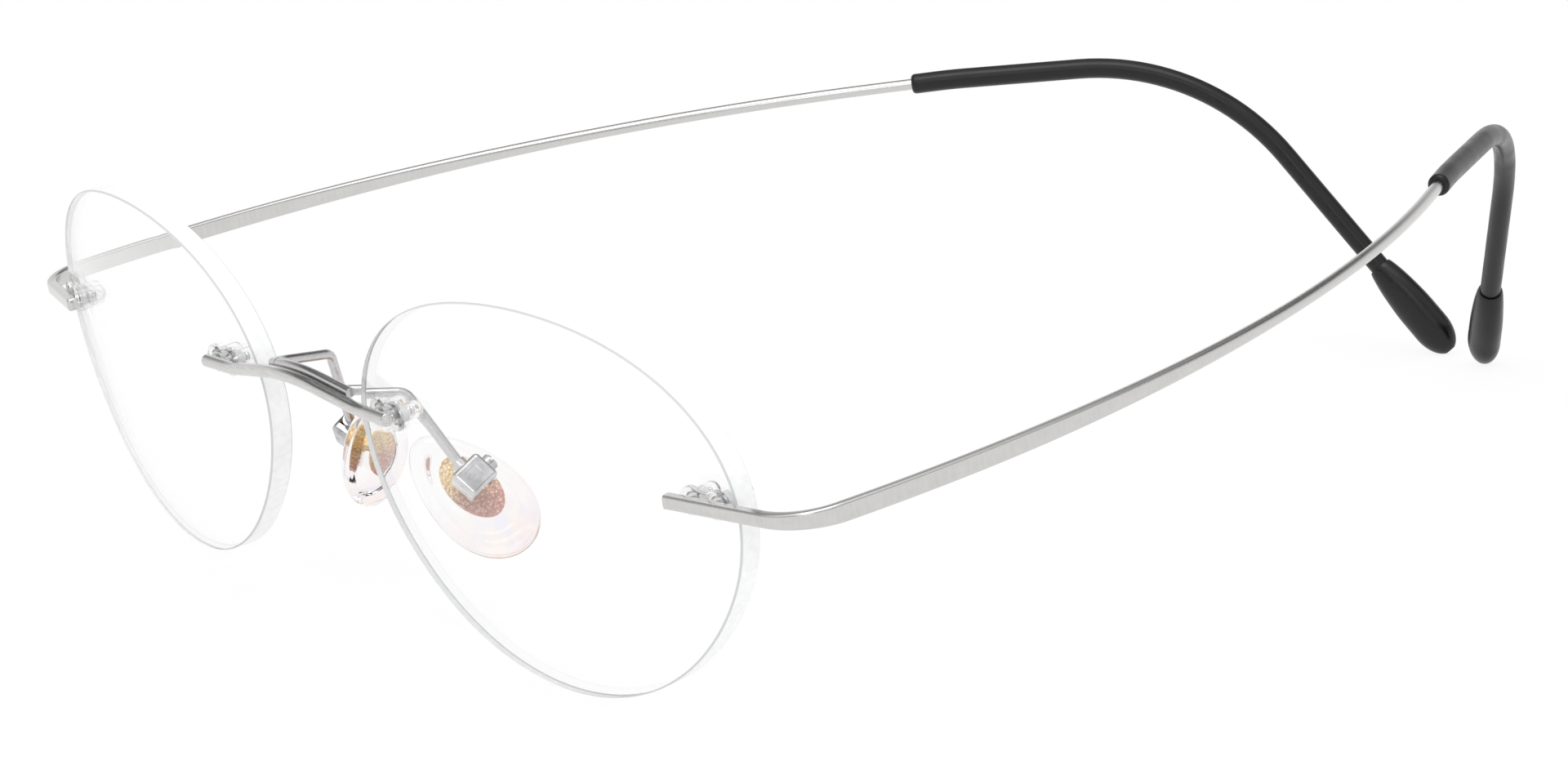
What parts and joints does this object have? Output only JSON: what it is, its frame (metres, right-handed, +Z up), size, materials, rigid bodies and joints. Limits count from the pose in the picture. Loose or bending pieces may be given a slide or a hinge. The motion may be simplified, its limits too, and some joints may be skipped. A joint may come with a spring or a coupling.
{
  "type": "rimless eyeglasses",
  "caption": "Rimless eyeglasses: drilled oval lenses, arched bridge bar, swivelling nose pads, sprung one-piece temples with black ear sleeves.",
  "frame": {"origin": "middle of the base of the bounding box, on the table that the lenses and the ear tips stand on", "axes": "+Z up from the table, +X towards the wearer's left, +Y from the lenses back to the ears"},
  "size_m": [0.1342, 0.1316, 0.0335],
  "materials": {
    "titanium": "satin light grey titanium, finely brushed along its length",
    "pin": "plain metal pins",
    "plug": "clear plastic double plug",
    "lens": "clear plastic lens with a fine ground edge",
    "pad_box": "polished metal",
    "pad_plate": "gold and rose metal plate inside the pad",
    "clear_silicone": "clear soft silicone",
    "black_rubber": "glossy black rubber"
  },
  "bodies": {
    "front": {"bridge_bar": "titanium", "pad_arm_left": "titanium", "pad_arm_right": "titanium", "lens_left": "lens", "lens_right": "lens", "bridge_plug_left": "plug", "bridge_plug_right": "plug", "bridge_pins_left": "pin", "bridge_pins_right": "pin", "temple_plug_left": "plug", "temple_plug_right": "plug", "temple_pins_left": "pin", "temple_pins_right": "pin", "temple_end_bar_left": "titanium", "temple_end_bar_right": "titanium", "pad_box_left": "pad_box", "pad_box_right": "pad_box", "pad_screw_left": "pad_box", "pad_screw_right": "pad_box"},
    "nose_pad_left": {"nose_pad_left": "clear_silicone", "pad_core_left": "pad_plate"},
    "temple_left": {"temple_bend_left": "titanium", "temple_arm_left": "titanium", "ear_sleeve_left": "black_rubber", "ear_tip_left": "black_rubber"},
    "nose_pad_right": {"nose_pad_right": "clear_silicone", "pad_core_right": "pad_plate"},
    "temple_right": {"temple_bend_right": "titanium", "temple_arm_right": "titanium", "ear_sleeve_right": "black_rubber", "ear_tip_right": "black_rubber"}
  },
  "joints": [
    {"name": "nose_pad_swing_left", "type": "hinge", "parent": "front", "child": "nose_pad_left", "pos_m": [0.01145, -0.05336, 0.01349], "axis": [0.0396, 0.8264, 0.5617], "range_deg": [-12, 12]},
    {"name": "nose_pad_swing_right", "type": "hinge", "parent": "front", "child": "nose_pad_right", "pos_m": [-0.01145, -0.05336, 0.01349], "axis": [-0.0396, 0.8264, 0.5617], "range_deg": [-12, 12]},
    {"name": "temple_spring_left", "type": "hinge", "parent": "front", "child": "temple_left", "pos_m": [0.06536, -0.05583, 0.01984], "axis": [0, 0.1353, -0.9908], "range_deg": [0, 25], "stiffness_Nm_per_rad": 0.5, "deforming": ["temple_bend_left"]},
    {"name": "temple_spring_right", "type": "hinge", "parent": "front", "child": "temple_right", "pos_m": [-0.06536, -0.05583, 0.01984], "axis": [0, -0.1353, 0.9908], "range_deg": [0, 25], "stiffness_Nm_per_rad": 0.5, "deforming": ["temple_bend_right"]}
  ]
}
